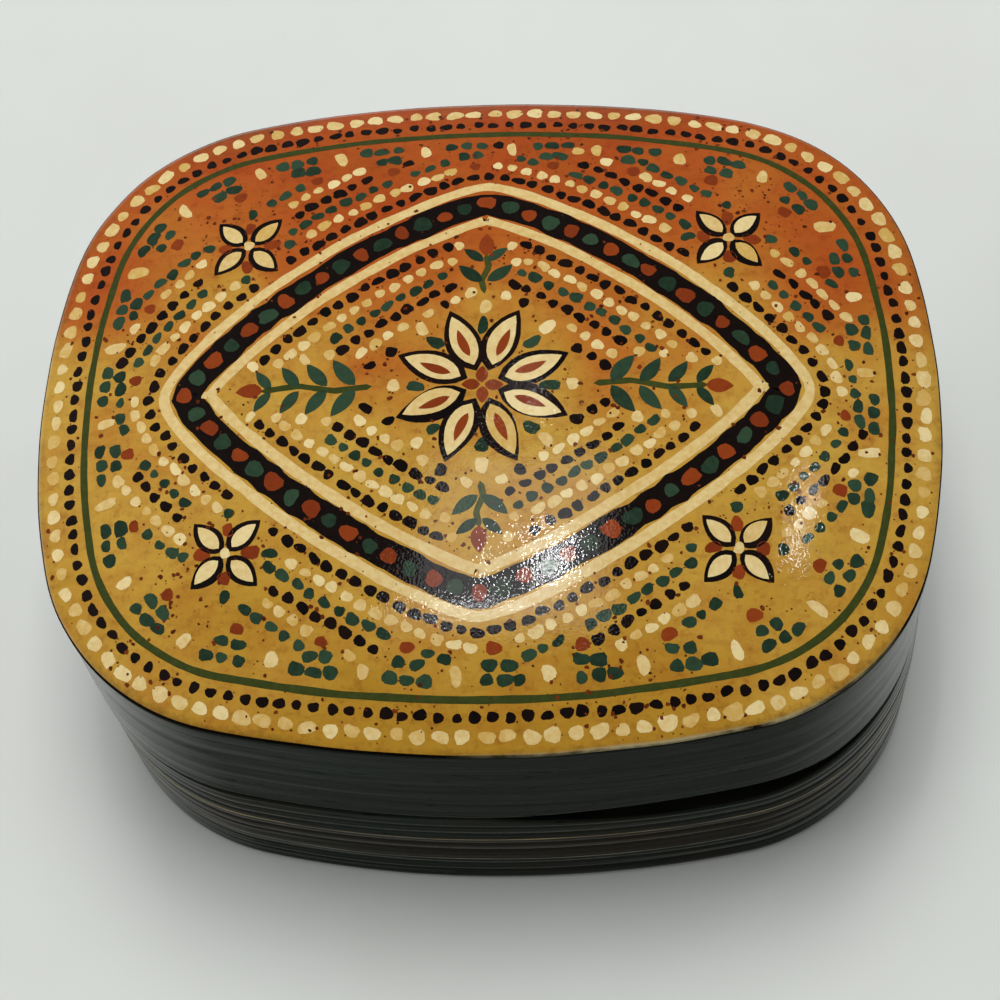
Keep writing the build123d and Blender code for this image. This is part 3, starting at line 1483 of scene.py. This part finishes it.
    def flower(self) -> None:
        """The flower in the middle, with dots between its petals and a small cross at its heart."""
        for k in range(self.petals):
            angle = math.tau * (k + 0.5) / self.petals
            ahead = towards(angle)
            self.leaf(Colour.BLACK, ahead * 2.3, ahead, length=10.4, width=5.0)
            self.leaf(Colour.CREAM, ahead * 3.3, ahead, length=8.4, width=3.5, lift=0.02)
            self.leaf(Colour.RUST, ahead * 4.8, ahead, length=4.6, width=1.3, lift=0.04)
            self.touch(Colour.BLACK, ahead * 13.9, ahead, length=1.7, width=1.4)
            out = towards(angle + math.tau / self.petals / 2)
            self.touch(Colour.TEAL, out * 9.3, out, length=2.5, width=1.8)
            self.touch(Colour.CREAM, out * 12.4, out, length=2.1, width=1.7)
        for k in range(4):
            ahead = towards(math.tau * k / 4)
            self.leaf(Colour.RUST, ahead * 0.3, ahead, length=2.6, width=1.7)

    def spray(self, root: float, ahead: Vector, pairs: int, pitch: float, leaf: float) -> None:
        """A stem with pairs of leaves, and a bud at its tip.

        Args:
            root: How far from the lid's middle the stem starts.
            ahead: The direction that it lies and grows in.
            pairs: How many pairs of leaves it has.
            pitch: The distance between them.
            leaf: The length of the first pair.
        """
        foot = ahead * root
        tip = foot + ahead * (pitch * pairs)
        bend = left_of(ahead) * 0.5
        stem = Path([foot, foot.lerp(tip, 0.33) + bend, foot.lerp(tip, 0.66) - bend, tip])
        self.layers[Colour.OLIVE].stroke(stem, 0.9, Ends.ROUND, step=0.7)
        for at, _ in stem.spaced(0.8):
            self.take(at, 0.5)
        for pair in range(pairs):
            at = foot + ahead * (pitch * (pair + 0.55))
            size = leaf * (1 - 0.4 * pair / pairs)
            for side in (-1, 1):
                out = turned(ahead, side * math.radians(52))
                self.leaf(Colour.TEAL, at + out * 0.4, out, size, size * 0.42)
                self.touch(Colour.CREAM, at + out * (size + 1.3), out, length=1.6, width=1.35)
        self.leaf(Colour.RUST, tip - ahead * 0.3, ahead, length=3.8, width=2.2)

    def corner_star(self, at: Vector) -> None:
        """Four broad leaves set crosswise, with small touches between them.

        Args:
            at: The star's middle.
        """
        for k in range(4):
            ahead = towards(math.tau * (k + 0.5) / 4)
            self.leaf(Colour.BLACK, at + ahead * 0.5, ahead, length=6.0, width=3.5)
            self.leaf(Colour.CREAM, at + ahead * 1.3, ahead, length=4.4, width=2.1, lift=0.02)
            out = (ahead - left_of(ahead)).normalized()
            self.touch(Colour.RUST, at + out * 3.4, out, length=2.2, width=1.7)
            self.touch(Colour.TEAL, at + out * 5.9, out, length=1.8, width=1.5)
        self.touch(Colour.CREAM, at, Vector((1, 0)), length=1.5, width=1.5, lift=0.02)

    def rows_between(self) -> None:
        """Rows of dots that follow the lozenge, inside and outside it, wherever the lid is bare."""
        line = self.lozenge()
        shared = (Colour.BLACK, Colour.CREAM, Colour.TEAL, Colour.BLACK, Colour.CREAM)
        for side, last, pitch in ((1, Colour.BLACK, 2.2), (-1, Colour.TEAL, 2.25)):
            for index, colour in enumerate((*shared, last)):
                away = self.first_row + self.row_spacing * index
                self.filler(colour, line.offset(side * away), pitch)

    def spatter(self) -> None:
        """Fine brown specks, flicked from a brush, thicker in some places than in others."""
        reach_x, reach_y = self.crown.plan.length / 2, self.crown.plan.width / 2
        made = 0
        while made < self.specks:
            at = Vector((self.brush.uniform(-reach_x, reach_x), self.brush.uniform(-reach_y, reach_y)))
            density = 0.5 + 0.9 * waver(at, 15, 5.0)
            if not self.free(at, 0.1):
                density *= 0.2
            if self.brush.random() > density or not self.inside(at, self.speck_edge):
                continue
            size = self.speck_size + self.speck_range * self.brush.random() ** 3
            heading = turned(Vector((1, 0)), self.brush.uniform(0, math.tau))
            length = size * self.brush.uniform(1.0, 1.5)
            self.layers[Colour.SPATTER].dot(at, heading, length, size, lift=0.01)
            made += 1

    def build(self) -> None:
        """Paints the lid and makes a piece of each colour."""
        self.edging()
        self.lozenge_bands()
        self.flower()
        for ahead in (Vector((1, 0)), Vector((-1, 0))):
            self.spray(15.2, ahead, pairs=4, pitch=3.9, leaf=5.2)
        for ahead in (Vector((0, 1)), Vector((0, -1))):
            self.spray(14.6, ahead, pairs=2, pitch=3.4, leaf=4.4)
        for side_x in (-1, 1):
            for side_y in (-1, 1):
                self.corner_star(Vector((side_x * self.corner[0], side_y * self.corner[1])))
        self.rows_between()
        self.spatter()
        for layer in self.layers.values():
            layer.build()


@dataclass
class RuledLine:
    """A painted line that runs level round the base wall, drawn by a hand that drifts and presses."""

    wall: Wall
    name: str
    height: float
    width: float
    finish: LinePaint
    stations: int = 420
    drift: float = 0.3
    pressure: float = 0.55

    SECTION = ((-0.5, -0.06), (-0.4, 0.035), (0.0, 0.05), (0.4, 0.035), (0.5, -0.06))

    def vertex(self, station: int, row: int) -> Vector:
        """The place of a vertex.

        Args:
            station: Its number round the wall.
            row: Its number in the line's section, from the bottom up.

        Returns:
            The point.
        """
        share = station / self.stations
        flat, _ = self.wall.plan.at(share)
        drift = self.drift * waver(flat, 24, self.height)
        pressed = 1 + self.pressure * waver(flat, 6, self.height + 7)
        up, proud = self.SECTION[row]
        return self.wall.surface(share, self.height + drift + up * self.width * pressed, proud)

    def build(self) -> Object:
        """Makes the line as a flat closed ribbon on the wall's paint."""
        shape = loft(self.stations, len(self.SECTION), self.vertex)
        return finish_mesh(shape, self.name, Body.BASE, [self.finish.build()])


@dataclass
class TrinketBox:
    """The whole box: the CAD pieces that keep their shape, and the pieces that stand for the others."""

    nodes: dict[str, Object]
    plan: Plan = field(default_factory=Plan)
    wall_thickness: float = 3.6
    lid_wall_thickness: float = 2.6
    facing_thickness: float = 0.6
    facing_clearance: float = 0.05
    base_ridges: tuple[Ridges, ...] = (
        Ridges(0.09, spacing=2.4, run=44.0, seed=2.0),
        Ridges(0.025, spacing=0.9, run=26.0, seed=8.0),
    )
    lid_ridges: tuple[Ridges, ...] = (
        Ridges(0.08, spacing=3.2, run=36.0, seed=31.0),
        Ridges(0.025, spacing=1.1, run=24.0, seed=47.0),
    )
    base_scores: tuple[Score, ...] = (
        Score(23.0, half_width=0.3, depth=0.1),
        Score(20.4, half_width=0.35, depth=0.14),
        Score(16.2, half_width=0.4, depth=0.13),
        Score(13.4, half_width=0.3, depth=0.12),
        Score(7.2, half_width=0.4, depth=0.14),
        Score(4.3, half_width=0.3, depth=0.09),
    )
    lid_warps: tuple[Warp, ...] = (
        Warp(heading=-52.6, before=28.8, after=14.0, lift=2.2),
        Warp(heading=206.0, before=20.0, after=20.0, lift=0.7),
    )

    @cached_property
    def lacquer(self) -> Material:
        """The black lacquer of everything inside the box."""
        return BlackLacquer("brushed_black_lacquer").build()

    def dress_inside(self) -> None:
        """Lacquers the floor, the collar and the underside of the crowned panel."""
        for name in ("base_floor", "inner_collar", "lid_panel"):
            materials = self.nodes[name].data.materials
            materials.clear()
            materials.append(self.lacquer)
            LOG.info("%s: lacquered", name)

    def build_base(self) -> None:
        """Makes the base wall and the lines that are ruled on it."""
        low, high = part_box("base_wall")
        relief = {"ridges": self.base_ridges, "scores": self.base_scores}
        wall = BaseWall(self.plan, low.z / MM, high.z / MM, self.wall_thickness, **relief)
        paint = WallPaint("brushed_charcoal_base_paint", warmth=0.5, zone_warmth=0.6).build()
        piece = finish_mesh(wall.build(), "base_wall_painted", Body.BASE, [paint, self.lacquer])
        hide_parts("base_wall")
        bronze = LinePaint("bronze_line_paint", "#94804a", "#51452a")
        RuledLine(wall, "upper_bronze_line", height=18.1, width=0.42, finish=bronze).build()
        drab = LinePaint("drab_line_paint", "#6c6a55", "#3b3a30")
        RuledLine(wall, "lower_drab_line", height=9.2, width=0.32, finish=drab).build()

    def build_lid(self) -> None:
        """Makes the lid wall, the facing and the painting on it."""
        low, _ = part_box("lid_wall")
        facing_low, facing_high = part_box("lid_facing")
        centre = ((facing_low + facing_high) / 2 / MM).xy
        top = facing_low.z / MM - self.facing_clearance
        relief = {"ridges": self.lid_ridges, "warps": self.lid_warps}
        wall = LidWall(self.plan, low.z / MM, top, self.lid_wall_thickness, centre, **relief)
        paint = WallPaint("brushed_charcoal_lid_paint", warmth=0.12, gloss=0.58).build()
        piece = finish_mesh(wall.build(), "lid_wall_painted", Body.LID, [paint, self.lacquer])
        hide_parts("lid_wall")
        rim = facing_low.z / MM + self.facing_thickness
        crown = Crown(self.plan, centre, rim, top=facing_high.z / MM)
        finishes = (PaintedGround("varnished_orange_to_ochre_ground"), CutPaper("cut_paper_edge"))
        materials = [finish.build() for finish in finishes]
        sheet = Facing(crown, self.facing_thickness).build()
        facing = finish_mesh(sheet, "lid_facing_painted", Body.LID, materials)
        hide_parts("lid_facing")
        Painting(crown, random.Random(BRUSH_SEED)).build()


@dataclass(frozen=True)
class Lamp:
    """A flat lamp that faces the box, from one end to the other in metres, in watts.

    The varnish shows it where it is mirrored.
    """

    name: str
    start: tuple[float, float, float]
    end: tuple[float, float, float]
    width: float
    watts: float
    mirrored: bool = True

    def hang(self) -> None:
        """Puts the lamp into the scene."""
        start, end = Vector(self.start), Vector(self.end)
        data = bpy.data.lights.new(self.name, "AREA")
        data.shape = "RECTANGLE"
        data.size = (end - start).length
        data.size_y = self.width
        data.energy = self.watts
        lamp = bpy.data.objects.new(self.name, data)
        middle = (start + end) / 2
        along = (end - start).normalized()
        side = middle.normalized().cross(along).normalized()
        axes = Matrix((along, side, along.cross(side)))
        lamp.matrix_world = Matrix.Translation(middle) @ axes.transposed().to_4x4()
        lamp.visible_glossy = self.mirrored
        bpy.context.scene.collection.objects.link(lamp)


@dataclass
class Studio:
    """The pale floor, the soft light of a room, the lamps overhead and the camera.

    The broad lamp lights the box. The small ones are there for their reflections, which glitter on the lid.
    """

    azimuth: float = 8.41
    elevation: float = 63.6
    roll: float = -8.24
    distance: float = 353.2
    aim: tuple[float, float, float] = (-0.15, -1.13, 26.0)
    focal_share: float = 2.3723
    sensor: float = 36.0
    clip: tuple[float, float] = (0.01, 20.0)
    floor_size: float = 3000.0
    room_light: float = 1.35
    room_seen: str = "#d9dcd8"
    room_tones: tuple[tuple[float, str], ...] = (
        (0.0, "#ffffff"),
        (0.58, "#ffffff"),
        (0.7, "#a0a0a0"),
        (0.82, "#3c3c3e"),
        (1.0, "#383839"),
    )
    lamps: tuple[Lamp, ...] = (
        Lamp("room_panel", (0.2, 0.17, 1.0), (-0.2, 0.17, 1.0), width=0.54, watts=5.8, mirrored=False),
        Lamp("middle_tube", (-0.012, 0.24, 1.0), (-0.03, 0.1, 1.0), width=0.008, watts=0.3),
        Lamp("front_tube", (-0.11, 0.04, 1.0), (-0.03, 0.05, 1.0), width=0.006, watts=0.06),
        Lamp("back_spot", (-0.02, 0.5, 1.0), (-0.045, 0.5, 1.0), width=0.008, watts=0.012),
        Lamp("soft_panel", (-0.02, 0.42, 1.02), (-0.05, -0.02, 1.02), width=0.16, watts=0.3),
        Lamp("right_tube", (0.44, 0.44, 1.0), (0.36, 0.2, 1.0), width=0.006, watts=0.22),
    )

    def build_floor(self) -> None:
        """Lays the floor."""
        shape = bmesh.new()
        bmesh.ops.create_grid(shape, x_segments=1, y_segments=1, size=self.floor_size / 2 * MM)
        floor = add_object(shape, "floor", [PaleFloor("pale_board").build()])

    def build_world(self) -> None:
        """Lights the room from its walls more than from its ceiling, and shows the camera a pale one."""
        world = bpy.data.worlds.new("room")
        world.use_nodes = True
        mix = Mixer(world.node_tree, "Generated")
        parts = mix.add("ShaderNodeSeparateXYZ", {"Vector": mix.place}).outputs
        backwards = mix.add("ShaderNodeMath", {0: parts["Y"], 1: 0.0}, operation="MAXIMUM")
        slope = {0: backwards, 1: 0.5, 2: parts["Z"]}
        upwards = mix.add("ShaderNodeMath", slope, operation="MULTIPLY_ADD")
        height = mix.add("ShaderNodeValToRGB", {"Fac": upwards}, self.room_tones)
        levels = {"From Min": -0.8, "From Max": 0.0, "To Min": 0.06, "To Max": 1.0}
        depth = mix.add("ShaderNodeMapRange", {"Value": parts["Y"], **levels})
        levels = {"From Min": -1.0, "From Max": 1.0, "To Min": 1.6, "To Max": 0.65}
        side = mix.add("ShaderNodeMapRange", {"Value": parts["X"], **levels})
        level = mix.add("ShaderNodeMath", {0: depth, 1: side}, operation="MULTIPLY")
        colours = {SHARE: 1.0, UNDER: height, OVER: level}
        room = mix.add("ShaderNodeMix", colours, data_type="RGBA", blend_type="MULTIPLY")
        light = mix.add("ShaderNodeBackground", {"Color": room, "Strength": self.room_light})
        seen = mix.add("ShaderNodeBackground", {"Color": linear(self.room_seen), "Strength": 1.0})
        ray = mix.add("ShaderNodeLightPath").outputs["Is Camera Ray"]
        either = mix.add("ShaderNodeMixShader", {0: ray, 1: light, 2: seen})
        mix.add("ShaderNodeOutputWorld", {"Surface": either})
        bpy.context.scene.world = world

    def build_camera(self) -> None:
        """Sets the camera at the photograph's viewing angle, round from the front and up from the table."""
        azimuth, elevation = math.radians(self.azimuth), math.radians(self.elevation)
        level_share = math.cos(elevation)
        back = Vector(
            (math.sin(azimuth) * level_share, -math.cos(azimuth) * level_share, math.sin(elevation))
        )
        level = (-back).cross(Vector((0, 0, 1))).normalized()
        right = Matrix.Rotation(math.radians(self.roll), 3, back) @ level
        axes = Matrix((right, back.cross(right), back))
        camera = bpy.data.objects.new("camera", bpy.data.cameras.new("camera"))
        camera.data.sensor_width = self.sensor
        camera.data.lens = self.sensor * self.focal_share
        camera.data.clip_start, camera.data.clip_end = self.clip
        eye = (Vector(self.aim) + back * self.distance) * MM
        camera.matrix_world = Matrix.Translation(eye) @ axes.transposed().to_4x4()
        bpy.context.scene.collection.objects.link(camera)
        bpy.context.scene.camera = camera

    def build(self) -> None:
        """Sets the whole stage."""
        self.build_camera()
        self.build_floor()
        self.build_world()
        for lamp in self.lamps:
            lamp.hang()
        bpy.context.scene.view_settings.view_transform = "Standard"


def main() -> None:
    """Loads the frame, dresses the box and sets the stage."""
    logging.basicConfig(level=logging.INFO, format="%(name)s: %(message)s")
    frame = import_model()
    Studio().build()
    box = TrinketBox(frame["nodes"])
    box.dress_inside()
    box.build_base()
    box.build_lid()


if __name__ == "__main__":
    main()
